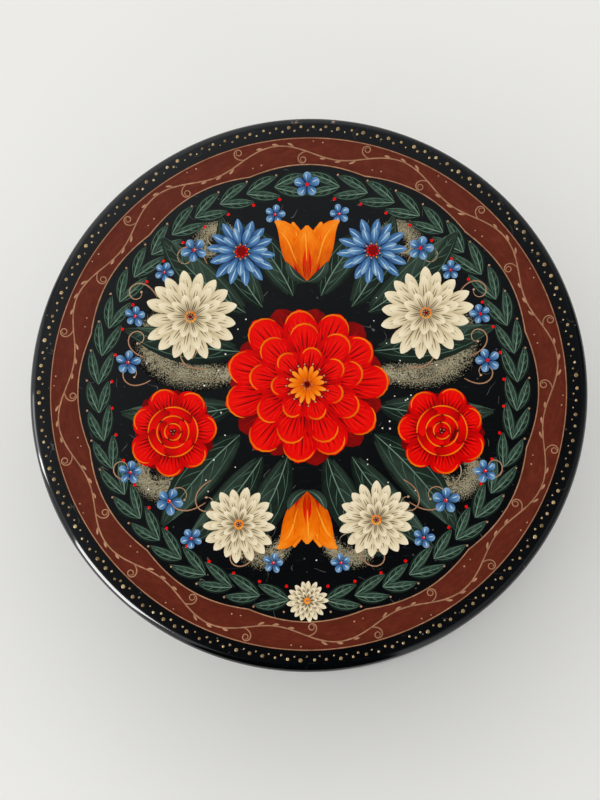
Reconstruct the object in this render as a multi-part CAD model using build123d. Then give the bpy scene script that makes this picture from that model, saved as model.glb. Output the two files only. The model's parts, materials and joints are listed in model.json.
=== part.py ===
from build123d import *
from math import cos, radians, sin, sqrt
import os

# Round papier-mache box with a hinged lid, shown closed. Millimetres and degrees, +Z up.
# The origin is the centre of the underside, on the plane the box stands on. The hinge is at +Y.

# Case and lid, all turned about Z
OUTER_DIAMETER = 100.0       # mm, outside of the case and of the lid
WALL_THICKNESS = 4.0         # mm, wound wall of the case and of the lid rim
BODY_HEIGHT = 27.0           # mm, from the table to the seam
LID_RIM_HEIGHT = 7.0         # mm, from the seam to the lid plate
LID_PLATE_THICKNESS = 4.0    # mm, at the edge of the plate
LID_CROWN = 0.8              # mm, rise of the plate's top from its edge to its middle
LID_EDGE_ROUND = 1.2         # mm, rounding of the plate's top edge
FOOT_ROUND = 1.2             # mm, rounding of the outside edge at the table
SEAM_ROUND = 0.35            # mm, eased outside edges where lid and case meet
INNER_EDGE_ROUND = 0.25      # mm, eased inside edge of the lid's mouth

# Base plate, let into a rebate in the foot of the wall
BASE_THICKNESS = 3.8         # mm
BASE_RECESS = 0.6            # mm, underside of the plate above the table
REBATE_DEPTH = 1.6           # mm, radial depth of the rebate
GLUE_GAP = 0.05              # mm, radial room for glue between pieces that are stuck together

# Collar that lines the case and locates the lid
COLLAR_THICKNESS = 1.6       # mm
COLLAR_LIP = 3.2             # mm, height of the collar above the seam
LID_CLEARANCE = 0.35         # mm, radial room between the lip and the inside of the lid
LIP_ROUND = 0.45             # mm, rounding of the lip's top edges

# Hinge of rolled sheet leaves around a wire pin
LEAF_SHEET = 0.6             # mm, sheet thickness
PIN_RADIUS = 0.6             # mm, wire of the hinge pin
PIN_CLEARANCE = 0.04         # mm, radial running clearance of the wire in the knuckles
PIN_END_ROUND = 0.2          # mm, eased ends of the wire
AXIS_INSET = 1.0             # mm, from the outside of the wall in to the hinge axis
BARREL_LENGTH = 19.8         # mm, all knuckles together
KNUCKLE_COUNT = 5            # knuckles, taken in turn by the case's leaf and the lid's leaf
KNUCKLE_GAP = 0.16           # mm, between neighbouring knuckles
KNUCKLE_RELIEF = 0.2         # mm, between a knuckle and the edge of the other leaf
ROLL_END_ANGLE = 65.0        # degrees, from the leaf to the free end of its roll
BODY_LEAF_LENGTH = 7.4       # mm, from the axis to the far edge of the case's leaf
LID_LEAF_LENGTH = 5.8        # mm, from the axis to the far edge of the lid's leaf
LEAF_CORNER = 0.9            # mm, rounding of the leaves' far corners
LEAF_FIT = 0.06              # mm, room around a leaf in its slot
NOTCH_DEPTH = 1.5            # mm, barrel notch above and below the seam
NOTCH_SIDE = 0.3             # mm, between the barrel's ends and the notch
NOTCH_BACK = 0.2             # mm, between the barrel and the back of the notch

# Small pins that hold each leaf in its slot
LEAF_PIN_RADIUS = 0.45       # mm
LEAF_PIN_FIT = 0.03          # mm, radial room around a pin
LEAF_PIN_COUNT = 3           # pins to a leaf
LEAF_PIN_PITCH = 6.4         # mm, between neighbouring pins
LEAF_PIN_BITE = 1.0          # mm, how far a pin goes into the wall behind the leaf
LEAF_PIN_EDGE = 2.0          # mm, from the row of pins to the far edge of the leaf

# Sizes that follow from the ones above
OUTER_RADIUS = OUTER_DIAMETER / 2
INNER_RADIUS = OUTER_RADIUS - WALL_THICKNESS
SEAM = BODY_HEIGHT
LID_PLATE_BOTTOM = SEAM + LID_RIM_HEIGHT
LID_PLATE_EDGE = LID_PLATE_BOTTOM + LID_PLATE_THICKNESS
CROWN_RADIUS = (OUTER_RADIUS ** 2 + LID_CROWN ** 2) / (2 * LID_CROWN)
BASE_TOP = BASE_RECESS + BASE_THICKNESS
REBATE_RADIUS = INNER_RADIUS + REBATE_DEPTH
COLLAR_OUTER = INNER_RADIUS - GLUE_GAP
COLLAR_INNER = COLLAR_OUTER - COLLAR_THICKNESS
LIP_OUTER = INNER_RADIUS - LID_CLEARANCE
LIP_TOP = SEAM + COLLAR_LIP
AXIS_Y = OUTER_RADIUS - AXIS_INSET
EYE_RADIUS = PIN_RADIUS + PIN_CLEARANCE
KNUCKLE_RADIUS = EYE_RADIUS + LEAF_SHEET
KNUCKLE_PITCH = BARREL_LENGTH / KNUCKLE_COUNT
NECK = KNUCKLE_RADIUS + KNUCKLE_RELIEF
LEAF_FRONT = AXIS_Y - KNUCKLE_RADIUS
LEAF_MIDDLE = LEAF_FRONT + LEAF_SHEET / 2
SEAM_PLANE = Plane.XY.offset(SEAM)


def turned(outline, eased):
    """Solid of revolution about Z from (radius, height) corners, with the listed corners rounded."""
    face = make_face(Polyline(*outline, close=True))
    for corner, radius in eased:
        nearest = face.vertices().sort_by_distance(Vector(*corner))[0]
        face = fillet(nearest, radius)
    return revolve(Plane.XZ * face, Axis.Z)


def crown_height(radius):
    """Height of the lid plate's domed top at a distance from the middle."""
    return LID_PLATE_EDGE + LID_CROWN - CROWN_RADIUS + sqrt(CROWN_RADIUS ** 2 - radius ** 2)


def block(x_half, y_low, y_high, z_low, z_high):
    """Box that is centred on X and runs between the given limits."""
    middle = Pos(0, (y_low + y_high) / 2, (z_low + z_high) / 2)
    return middle * Box(2 * x_half, y_high - y_low, z_high - z_low)


def leaf_pin_rods(radius, leaf_length):
    """Rods along Y at the pin places of the case's leaf, from behind the leaf to past the outside."""
    y_low = LEAF_FRONT - LEAF_PIN_BITE
    length = OUTER_RADIUS + 1 - y_low
    height = SEAM - leaf_length + LEAF_PIN_EDGE
    rods = []
    for number in range(LEAF_PIN_COUNT):
        x = (number - (LEAF_PIN_COUNT - 1) / 2) * LEAF_PIN_PITCH
        place = Plane(origin=(x, y_low, height), z_dir=(0, 1, 0))
        rods.append(extrude(place * Circle(radius), length))
    return rods


def hinge_leaf(first_knuckle, leaf_length):
    """Leaf that hangs below the hinge axis, with every second knuckle of the barrel."""
    plate = block(BARREL_LENGTH / 2, LEAF_FRONT, LEAF_FRONT + LEAF_SHEET, SEAM - leaf_length, SEAM - NECK)
    far_edges = plate.edges().filter_by(Axis.Y).group_by(Axis.Z)[0]
    leaf = fillet(far_edges, LEAF_CORNER)

    # A knuckle is the sheet rolled almost once around the pin, and its free end stops short of the leaf
    reach = 2 * KNUCKLE_RADIUS
    end = radians(180 + ROLL_END_ANGLE)
    opening = make_face(
        Polyline((0, 0), (-reach, 0), (-reach, -reach), (reach * cos(end), reach * sin(end)), close=True)
    )
    neck = Pos(LEAF_MIDDLE - AXIS_Y, -NECK / 2) * Rectangle(LEAF_SHEET, NECK)
    roll = Circle(KNUCKLE_RADIUS) - Circle(EYE_RADIUS) - opening + neck
    for number in range(first_knuckle, KNUCKLE_COUNT, 2):
        x = number * KNUCKLE_PITCH - BARREL_LENGTH / 2 + KNUCKLE_GAP / 2
        place = Plane(origin=(x, AXIS_Y, SEAM), x_dir=(0, 1, 0), z_dir=(1, 0, 0))
        leaf += extrude(place * roll, KNUCKLE_PITCH - KNUCKLE_GAP)

    for rod in leaf_pin_rods(LEAF_PIN_RADIUS + LEAF_PIN_FIT, leaf_length):
        leaf -= rod
    return leaf


def cut_hinge_seat(wall, leaf_length):
    """Wall below the seam with the barrel's notch, the leaf's slot and the pin holes cut in it."""
    notch_x = BARREL_LENGTH / 2 + NOTCH_SIDE
    slot_x = BARREL_LENGTH / 2 + LEAF_FIT
    slot_back = LEAF_FRONT + LEAF_SHEET + LEAF_FIT
    wall -= block(notch_x, LEAF_FRONT - NOTCH_BACK, OUTER_RADIUS + 1, SEAM - NOTCH_DEPTH, SEAM + 1)
    wall -= block(slot_x, LEAF_FRONT - LEAF_FIT, slot_back, SEAM - leaf_length - LEAF_FIT, SEAM + 1)
    for rod in leaf_pin_rods(LEAF_PIN_RADIUS + LEAF_PIN_FIT, leaf_length):
        wall -= rod
    return wall


def leaf_pins(leaf_length):
    """Pins of the case's leaf, ending flush with the round outside of the wall."""
    outside = Cylinder(OUTER_RADIUS, 2 * SEAM, align=(Align.CENTER, Align.CENTER, Align.MIN))
    pins = [rod & outside for rod in leaf_pin_rods(LEAF_PIN_RADIUS, leaf_length)]
    return Compound(children=pins)


# The lid's pieces of the hinge are those of a leaf below the seam, turned over about the seam
def over_seam(shape):
    """Mirror image in the plane of the seam."""
    return mirror(shape, about=SEAM_PLANE)


wall = turned(
    [
        (INNER_RADIUS, BASE_TOP),
        (INNER_RADIUS, SEAM),
        (OUTER_RADIUS, SEAM),
        (OUTER_RADIUS, 0),
        (REBATE_RADIUS, 0),
        (REBATE_RADIUS, BASE_TOP),
    ],
    [((OUTER_RADIUS, SEAM), SEAM_ROUND), ((OUTER_RADIUS, 0), FOOT_ROUND)],
)
wall = cut_hinge_seat(wall, BODY_LEAF_LENGTH)

base_radius = REBATE_RADIUS - GLUE_GAP
base = turned([(0, BASE_RECESS), (base_radius, BASE_RECESS), (base_radius, BASE_TOP), (0, BASE_TOP)], [])

collar = turned(
    [
        (COLLAR_INNER, BASE_TOP),
        (COLLAR_OUTER, BASE_TOP),
        (COLLAR_OUTER, SEAM),
        (LIP_OUTER, SEAM),
        (LIP_OUTER, LIP_TOP),
        (COLLAR_INNER, LIP_TOP),
    ],
    [((LIP_OUTER, LIP_TOP), LIP_ROUND), ((COLLAR_INNER, LIP_TOP), LIP_ROUND)],
)

# The lid rim is made below the seam like the wall, then turned over with its hinge seat
rim_end = SEAM - LID_RIM_HEIGHT
lid_rim = turned(
    [(INNER_RADIUS, rim_end), (OUTER_RADIUS, rim_end), (OUTER_RADIUS, SEAM), (INNER_RADIUS, SEAM)],
    [((OUTER_RADIUS, SEAM), SEAM_ROUND), ((INNER_RADIUS, SEAM), INNER_EDGE_ROUND)],
)
lid_rim = over_seam(cut_hinge_seat(lid_rim, LID_LEAF_LENGTH))

half_way = OUTER_RADIUS / 2
plate_outline = [
    Line((0, LID_PLATE_BOTTOM), (OUTER_RADIUS, LID_PLATE_BOTTOM)),
    Line((OUTER_RADIUS, LID_PLATE_BOTTOM), (OUTER_RADIUS, LID_PLATE_EDGE)),
    ThreePointArc((OUTER_RADIUS, LID_PLATE_EDGE), (half_way, crown_height(half_way)), (0, crown_height(0))),
    Line((0, crown_height(0)), (0, LID_PLATE_BOTTOM)),
]
plate_face = make_face(plate_outline)
plate_corner = plate_face.vertices().sort_by_distance(Vector(OUTER_RADIUS, LID_PLATE_EDGE))[0]
plate_face = fillet(plate_corner, LID_EDGE_ROUND)
lid_plate = revolve(Plane.XZ * plate_face, Axis.Z)

body_hinge_leaf = hinge_leaf(0, BODY_LEAF_LENGTH)
lid_hinge_leaf = over_seam(hinge_leaf(1, LID_LEAF_LENGTH))

pin_place = Plane(origin=(-BARREL_LENGTH / 2, AXIS_Y, SEAM), z_dir=(1, 0, 0))
hinge_pin = extrude(pin_place * Circle(PIN_RADIUS), BARREL_LENGTH)
hinge_pin = fillet(hinge_pin.edges().filter_by(GeomType.CIRCLE), PIN_END_ROUND)

nodes = {
    "wall": wall,
    "base": base,
    "collar": collar,
    "body_hinge_leaf": body_hinge_leaf,
    "body_leaf_pins": leaf_pins(BODY_LEAF_LENGTH),
    "hinge_pin": hinge_pin,
    "lid_rim": lid_rim,
    "lid_plate": lid_plate,
    "lid_hinge_leaf": lid_hinge_leaf,
    "lid_leaf_pins": over_seam(leaf_pins(LID_LEAF_LENGTH)),
}

os.makedirs("parts", exist_ok=True)
for name, shape in nodes.items():
    shape.label = name
    export_step(shape, f"parts/{name}.step")
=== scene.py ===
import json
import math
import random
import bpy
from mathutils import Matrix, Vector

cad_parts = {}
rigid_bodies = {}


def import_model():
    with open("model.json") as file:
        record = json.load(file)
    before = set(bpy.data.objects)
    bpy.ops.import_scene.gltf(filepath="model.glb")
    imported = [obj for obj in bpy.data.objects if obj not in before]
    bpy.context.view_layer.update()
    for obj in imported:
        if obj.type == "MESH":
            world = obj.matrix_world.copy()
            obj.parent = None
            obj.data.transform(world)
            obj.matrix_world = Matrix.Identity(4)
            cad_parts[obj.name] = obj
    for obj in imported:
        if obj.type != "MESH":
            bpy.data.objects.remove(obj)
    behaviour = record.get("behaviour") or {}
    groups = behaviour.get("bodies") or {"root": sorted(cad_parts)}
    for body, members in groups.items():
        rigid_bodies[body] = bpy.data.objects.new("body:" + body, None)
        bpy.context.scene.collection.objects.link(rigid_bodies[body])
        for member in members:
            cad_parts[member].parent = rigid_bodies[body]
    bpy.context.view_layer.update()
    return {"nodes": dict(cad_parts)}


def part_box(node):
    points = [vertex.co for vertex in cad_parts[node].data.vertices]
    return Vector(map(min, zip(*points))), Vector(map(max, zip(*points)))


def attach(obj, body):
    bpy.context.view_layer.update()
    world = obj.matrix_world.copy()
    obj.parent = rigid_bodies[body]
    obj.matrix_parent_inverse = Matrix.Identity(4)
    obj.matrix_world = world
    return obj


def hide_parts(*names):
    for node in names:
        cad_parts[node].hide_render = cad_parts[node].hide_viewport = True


bl_info = {
    "name": "Round lacquer box",
    "version": (1, 0, 0),
    "blender": (4, 5, 0),
    "location": "3D View > Sidebar > Lacquer box",
    "description": "Finishes and lid painting of a round lacquer box with a hinged lid",
    "category": "Object",
}

from typing import NamedTuple

import bpy
from mathutils import Matrix, Vector

# Nothing of the start-up scene stays beside the frame
for leftover in list(bpy.data.objects):
    bpy.data.objects.remove(leftover, do_unlink=True)
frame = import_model()
LID_LOW, LID_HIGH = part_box("lid_plate")
RIM_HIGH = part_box("lid_rim")[1]
BASE_LOW, BASE_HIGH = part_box("base")

MM = 0.001
LEVEL = 0.0025      # mm of height between one coat of paint and the next
SINK = 0.03         # mm that each stroke goes down into the lid
FLARE = 0.02        # mm that a stroke's foot stands out past its face
DOT_SIDES = 10
DOT_FACE = 0.72     # radius of a dot's face, for a radius of 1 at its foot
STREAK_SPAN = 60    # mm within which each stroke's streaks start at random
EASE = 0.6          # how far a stroke's points crowd towards its ends, from 0 to 1
THIN_END = 0.09     # least width of a stroke, for a width of 1 at its belly
LID_BODY = "lid"

# Dark, middle and light of each pot of paint, as screen colours
POTS = {
    "maroon": ((60, 20, 13), (96, 39, 26), (132, 60, 40)),
    "crimson": ((48, 3, 4), (112, 6, 6), (164, 12, 9)),
    "red": ((146, 2, 2), (224, 3, 3), (246, 26, 10)),
    "orange": ((192, 64, 4), (242, 116, 4), (252, 172, 54)),
    "cream": ((142, 124, 94), (219, 202, 164), (244, 232, 202)),
    "umber": ((66, 54, 40), (116, 100, 76), (160, 144, 114)),
    "green": ((15, 24, 19), (34, 46, 38), (58, 76, 64)),
    "sage": ((56, 80, 67), (88, 117, 99), (148, 172, 148)),
    "blue": ((22, 42, 86), (74, 120, 168), (148, 182, 204)),
    "sky": ((118, 158, 192), (170, 200, 216), (222, 234, 234)),
    "gold": ((116, 78, 54), (176, 129, 97), (216, 178, 142)),
    "pale_gold": ((112, 89, 56), (182, 156, 114), (235, 218, 182)),
    "pearl": ((122, 105, 76), (186, 171, 142), (240, 236, 224)),
    "dust": ((62, 58, 44), (112, 106, 82), (172, 163, 134)),
}
METALLIC_POTS = {"gold": 0.3, "pale_gold": 0.2, "pearl": 0.2}


def srgb(red, green, blue):
    """Linear colour from the 0 to 255 values of a screen colour."""
    def linear(value):
        value /= 255
        return value / 12.92 if value < 0.04045 else ((value + 0.055) / 1.055) ** 2.4
    return (linear(red), linear(green), linear(blue))


def polar(x, y, distance, angle):
    """Point at a distance and an angle from another, with the angle in degrees."""
    return x + distance * math.cos(math.radians(angle)), y + distance * math.sin(math.radians(angle))


def bearing(azimuth, elevation):
    """Unit vector that points away from the box, with both angles in degrees."""
    flat = polar(0, 0, math.cos(math.radians(elevation)), azimuth)
    return Vector((*flat, math.sin(math.radians(elevation))))


def mirrored(plan):
    """Each row of a plan twice: with side 1, and with side -1 for its mirror image on the left."""
    for row in plan:
        for side in (1, -1):
            yield (side, *row)


def facing(side, heading):
    """Heading seen in the mirror for the left side."""
    return heading if side > 0 else 180 - heading


# Node trees


class Wiring:
    """Adds nodes to a tree, with each input given as a value or as another node's socket."""

    def __init__(self, tree):
        self.tree = tree

    def add(self, kind, inputs=None, **settings):
        """New node with its settings and then its inputs."""
        node = self.tree.nodes.new(kind)
        for key, value in settings.items():
            setattr(node, key, value)
        self.connect(node.inputs, inputs or {})
        return node

    def out(self, kind, inputs=None, **settings):
        """First output of a new node."""
        return self.add(kind, inputs, **settings).outputs[0]

    def connect(self, sockets, values):
        """Feeds several sockets by name or number."""
        for key, value in values.items():
            self.feed(sockets[key], value)

    def feed(self, socket, value):
        """Links a socket, or sets its value."""
        if isinstance(value, bpy.types.NodeSocket):
            self.tree.links.new(value, socket)
        elif socket.type == "RGBA":
            socket.default_value = (*value, 1.0)
        else:
            socket.default_value = value

    def math(self, operation, first, second=0.0, third=0.0, clamp=False):
        inputs = {0: first, 1: second, 2: third}
        return self.out("ShaderNodeMath", inputs, operation=operation, use_clamp=clamp)

    def plus(self, first, second):
        return self.math("ADD", first, second)

    def minus(self, first, second):
        return self.math("SUBTRACT", first, second)

    def times(self, first, second, clamp=False):
        return self.math("MULTIPLY", first, second, clamp=clamp)

    def times_plus(self, first, second, third, clamp=False):
        return self.math("MULTIPLY_ADD", first, second, third, clamp)

    def most(self, first, *others):
        """Largest of several values."""
        for other in others:
            first = self.math("MAXIMUM", first, other)
        return first

    def vector(self, operation, first, second=(0, 0, 0)):
        node = self.add("ShaderNodeVectorMath", {0: first, 1: second}, operation=operation)
        return node.outputs["Value" if operation in ("LENGTH", "DOT_PRODUCT") else "Vector"]

    def scaled(self, vector, factor):
        return self.out("ShaderNodeVectorMath", {0: vector, "Scale": factor}, operation="SCALE")

    def split(self, vector):
        return self.add("ShaderNodeSeparateXYZ", {0: vector}).outputs

    def join(self, x, y, z):
        return self.out("ShaderNodeCombineXYZ", {0: x, 1: y, 2: z})

    def between(self, value, low, high, out_low=0.0, out_high=1.0):
        """Value taken from one range to another, and held at its ends."""
        inputs = {"Value": value, 1: low, 2: high, 3: out_low, 4: out_high}
        return self.out("ShaderNodeMapRange", inputs, clamp=True)

    def mix(self, factor, first, second):
        """Colour between two others."""
        inputs = {"Factor": factor, 6: first, 7: second}
        return self.add("ShaderNodeMix", inputs, data_type="RGBA").outputs[2]

    def noise(self, vector, scale, detail=2.0, roughness=0.5):
        inputs = {"Vector": vector, "Scale": scale, "Detail": detail, "Roughness": roughness}
        return self.add("ShaderNodeTexNoise", inputs).outputs["Fac"]

    def place(self):
        """Object coordinates of a shaded point."""
        return self.add("ShaderNodeTexCoord").outputs["Object"]

    def painted(self, name):
        """What the brush work says of a shaded point: its tone, or its way across or along the stroke."""
        return self.add("ShaderNodeAttribute", attribute_name=name).outputs["Fac"]

    def recall(self, name, data_type="FLOAT"):
        return self.out("GeometryNodeInputNamedAttribute", {"Name": name}, data_type=data_type)

    def store(self, geometry, name, value, data_type="FLOAT"):
        inputs = {"Geometry": geometry, "Name": name, "Value": value}
        return self.out("GeometryNodeStoreNamedAttribute", inputs, data_type=data_type, domain="POINT")

    def moved(self, geometry, position):
        return self.out("GeometryNodeSetPosition", {"Geometry": geometry, "Position": position})


def new_tree(name, kind, inputs, outputs):
    """New node tree with sockets by name and type, its wiring, and the sockets at its start and end."""
    tree = bpy.data.node_groups.new(name, kind + "NodeTree")
    for in_out, sockets in (("INPUT", inputs), ("OUTPUT", outputs)):
        for label, socket_type in sockets.items():
            tree.interface.new_socket(label, in_out=in_out, socket_type="NodeSocket" + socket_type)
    wiring = Wiring(tree)
    return tree, wiring, wiring.add("NodeGroupInput").outputs, wiring.add("NodeGroupOutput").inputs


def crown_height(wiring, given, x, y):
    """Height of the domed lid under a point."""
    top, radius = given["Crown Top"], given["Crown Radius"]
    squared = wiring.plus(wiring.times(x, x), wiring.times(y, y))
    under_root = wiring.minus(wiring.times(radius, radius), squared)
    return wiring.plus(wiring.minus(top, radius), wiring.math("SQRT", under_root))


def end_in_mesh(wiring, geometry, smooth, given, result):
    """Ends a tree: makes instances real, shades them and gives them their paint."""
    whole = wiring.out("GeometryNodeRealizeInstances", {"Geometry": geometry})
    whole = wiring.out("GeometryNodeSetShadeSmooth", {"Geometry": whole, "Shade Smooth": smooth})
    painted = wiring.out("GeometryNodeSetMaterial", {"Geometry": whole, "Material": given["Material"]})
    wiring.feed(result["Geometry"], painted)


# Section of a stroke, as (share of its half-width, 0 at its foot or 1 at its face)
STROKE_SECTION = ((1, 1), (0, 1), (-1, 1), (-1, 0), (1, 0))


def swept_strokes(wiring, given):
    """A flat section swept along each chain of points, with its corners then laid on the lid."""
    position = wiring.out("GeometryNodeInputPosition")
    side = wiring.vector("CROSS_PRODUCT", (0, 0, 1), wiring.out("GeometryNodeInputTangent"))
    curve = wiring.out("GeometryNodeMeshToCurve", {"Mesh": given["Geometry"]})
    curve = wiring.store(curve, "side", side, "FLOAT_VECTOR")
    curve = wiring.store(curve, "centre", position, "FLOAT_VECTOR")

    # A new switch has two items, and each further corner needs one more
    section = wiring.out("GeometryNodeCurvePrimitiveCircle", {"Resolution": len(STROKE_SECTION)})
    corner = wiring.add("GeometryNodeIndexSwitch", data_type="VECTOR")
    for number, (across, lift) in enumerate(STROKE_SECTION):
        if number > 1:
            corner.index_switch_items.new()
        corner.inputs[number + 1].default_value = (across, lift, 0.0)
    wiring.feed(corner.inputs["Index"], wiring.out("GeometryNodeInputIndex"))
    section = wiring.moved(section, corner.outputs[0])
    section = wiring.store(section, "across", wiring.split(position)["X"])
    section = wiring.store(section, "lift", wiring.split(position)["Y"])
    inputs = {"Curve": curve, "Profile Curve": section, "Scale": MM, "Fill Caps": True}
    swept = wiring.out("GeometryNodeCurveToMesh", inputs)

    # Every corner is laid anew, so the size of the sweep itself doesn't matter
    lift = wiring.recall("lift")
    width = wiring.plus(wiring.recall("half"), wiring.times_plus(lift, -FLARE * MM, FLARE * MM))
    reach = wiring.times(wiring.recall("across"), width)
    offset = wiring.scaled(wiring.recall("side", "FLOAT_VECTOR"), reach)
    place = wiring.split(wiring.vector("ADD", wiring.recall("centre", "FLOAT_VECTOR"), offset))
    ground = crown_height(wiring, given, place["X"], place["Y"])
    depth = wiring.times(given["Sink"], -1.0)
    rise = wiring.times_plus(lift, wiring.minus(wiring.recall("rise"), depth), depth)
    return wiring.moved(swept, wiring.join(place["X"], place["Y"], wiring.plus(ground, rise)))


def lone_dots(wiring, given):
    """A low round button on each point that has no neighbour."""
    neighbours = wiring.add("GeometryNodeInputMeshVertexNeighbors").outputs["Vertex Count"]
    lonely = wiring.out("FunctionNodeCompare", {"A": neighbours, "B": 0.5}, operation="LESS_THAN")
    inputs = {"Vertices": given["Dot Sides"], "Radius Top": DOT_FACE, "Radius Bottom": 1.0, "Depth": 1.0}
    button = wiring.store(wiring.out("GeometryNodeMeshCone", inputs), "across", 0.0)
    half = wiring.recall("half")
    inputs = {
        "Points": given["Geometry"],
        "Selection": lonely,
        "Instance": button,
        "Scale": wiring.join(half, half, wiring.plus(wiring.recall("rise"), given["Sink"])),
    }
    dots = wiring.out("GeometryNodeInstanceOnPoints", inputs)
    spot = wiring.split(wiring.out("GeometryNodeInputPosition"))
    foot = wiring.minus(crown_height(wiring, given, spot["X"], spot["Y"]), given["Sink"])
    return wiring.moved(dots, wiring.join(spot["X"], spot["Y"], foot))


def brush_work_tree():
    """Turns chains of points into flat brush strokes and single points into dots, all laid on the lid."""
    name = "Brush work"
    if name in bpy.data.node_groups:
        return bpy.data.node_groups[name]
    inputs = {
        "Geometry": "Geometry",
        "Crown Top": "Float",
        "Crown Radius": "Float",
        "Sink": "Float",
        "Dot Sides": "Int",
        "Material": "Material",
    }
    tree, wiring, given, result = new_tree(name, "Geometry", inputs, {"Geometry": "Geometry"})
    both = wiring.add("GeometryNodeJoinGeometry")
    wiring.feed(both.inputs[0], lone_dots(wiring, given))
    wiring.feed(both.inputs[0], swept_strokes(wiring, given))
    end_in_mesh(wiring, both.outputs[0], False, given, result)
    return tree


def dot_border_tree():
    """Ring of large dots with a smaller dot inside each gap, set by hand and so a little uneven."""
    lengths = ("Ring Radius", "Inner Step", "Large Radius", "Small Radius", "Drift", "Shift", "Rise")
    floats = dict.fromkeys((*lengths, "Unevenness", "Crown Top", "Crown Radius"), "Float")
    inputs = {"Pairs": "Int", **floats, "Seed": "Int", "Material": "Material"}
    tree, wiring, given, result = new_tree("Dot border", "Geometry", inputs, {"Geometry": "Geometry"})

    def draw(step, low, high):
        """Random value for each dot, with a seed of its own for each step."""
        seed = wiring.plus(given["Seed"], float(step))
        node = wiring.add("FunctionNodeRandomValue", {2: low, 3: high, "Seed": seed}, data_type="FLOAT")
        return node.outputs[1]

    count = wiring.times(given["Pairs"], 2.0)
    index = wiring.out("GeometryNodeInputIndex")
    small = wiring.math("MODULO", index, 2.0)
    wander = wiring.times(draw(1, -0.5, 0.5), given["Unevenness"])
    angle = wiring.times(wiring.plus(index, wander), wiring.math("DIVIDE", 2 * math.pi, count))
    cosine = wiring.math("COSINE", angle)
    sine = wiring.math("SINE", angle)

    # Each dot strays a little, and the whole ring drifts slowly in and out
    radius = wiring.minus(given["Ring Radius"], wiring.times(small, given["Inner Step"]))
    stray = wiring.times(wiring.times(draw(2, -1.0, 1.0), given["Unevenness"]), given["Large Radius"])
    slow = wiring.minus(wiring.noise(wiring.join(cosine, sine, 0.0), scale=2.4, detail=1.0), 0.5)
    radius = wiring.times_plus(slow, given["Drift"], wiring.plus(radius, stray))
    x = wiring.times(radius, cosine)
    y = wiring.times_plus(radius, sine, given["Shift"])
    ring = wiring.out("GeometryNodeMeshCircle", {"Vertices": count})
    points = wiring.moved(ring, wiring.join(x, y, crown_height(wiring, given, x, y)))
    points = wiring.store(points, "tone", draw(3, 0.05, 0.58))
    points = wiring.store(points, "along", draw(4, 0.0, 40.0))

    change = wiring.times(small, wiring.minus(given["Small Radius"], given["Large Radius"]))
    growth = wiring.times_plus(wiring.times(draw(5, -1.0, 1.0), given["Unevenness"]), 0.8, 1.0)
    size = wiring.times(wiring.plus(given["Large Radius"], change), growth)
    drop = wiring.out("GeometryNodeMeshUVSphere", {"Segments": 9, "Rings": 5, "Radius": 1.0})
    drop = wiring.store(drop, "across", 0.0)
    inputs = {"Points": points, "Instance": drop, "Scale": wiring.join(size, size, given["Rise"])}
    end_in_mesh(wiring, wiring.out("GeometryNodeInstanceOnPoints", inputs), True, given, result)
    return tree


# Meshes

WORKING_ATTRIBUTES = ("side", "centre", "half", "rise", "lift")


def plain_piece(name, mesh, tree, values):
    """Object made by a geometry tree and turned into a plain mesh, riding on the lid."""
    maker = bpy.data.objects.new(name + "_maker", mesh)
    bpy.context.scene.collection.objects.link(maker)
    modifier = maker.modifiers.new("Nodes", "NODES")
    modifier.node_group = tree
    sockets = [item for item in tree.interface.items_tree if item.in_out == "INPUT"]
    identifiers = {socket.name: socket.identifier for socket in sockets}
    for label, value in values.items():
        modifier[identifiers[label]] = value
    depsgraph = bpy.context.evaluated_depsgraph_get()
    made = bpy.data.meshes.new_from_object(maker.evaluated_get(depsgraph))
    bpy.data.objects.remove(maker, do_unlink=True)
    bpy.data.meshes.remove(mesh)
    for label in WORKING_ATTRIBUTES:
        if label in made.attributes:
            made.attributes.remove(made.attributes[label])
    made.name = name
    piece = bpy.data.objects.new(name, made)
    bpy.context.scene.collection.objects.link(piece)
    if not made.polygons:
        raise RuntimeError(f"{name} came out empty")
    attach(piece, LID_BODY)


def crown_radius(settings):
    """Radius of the sphere that the lid's domed top is part of."""
    return (LID_HIGH.x ** 2 + settings.crown ** 2) / (2 * settings.crown)


# The lid's top as it is turned: steps in each arc, rows down its side and across its underside, facets
ARC_STEPS = 24
SIDE_SHARES = (0.6, 0.3, 0.0)
UNDERSIDE_SHARES = (0.96, 0.7, 0.35)
LID_SEGMENTS = 320
SHARP_ANGLE = 40


def lid_outline(settings):
    """Half the lid's plate as (r, z), from its top round its edge to its underside, middles left out."""
    sphere = crown_radius(settings)
    centre = LID_HIGH.z - sphere
    rim = LID_HIGH.x
    bend = settings.edge_round
    bend_height = centre + math.sqrt((sphere - bend) ** 2 - (rim - bend) ** 2)
    start = math.atan2(rim - bend, bend_height - centre)
    outline = []
    for step in range(1, ARC_STEPS + 1):
        angle = start * step / ARC_STEPS
        outline.append((sphere * math.sin(angle), centre + sphere * math.cos(angle)))
    for step in range(1, ARC_STEPS + 1):
        angle = start + (math.pi / 2 - start) * step / ARC_STEPS
        outline.append((rim - bend + bend * math.sin(angle), bend_height + bend * math.cos(angle)))
    outline += [(rim, LID_LOW.z + (bend_height - LID_LOW.z) * share) for share in SIDE_SHARES]
    outline += [(rim * share, LID_LOW.z) for share in UNDERSIDE_SHARES]
    return outline


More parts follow.
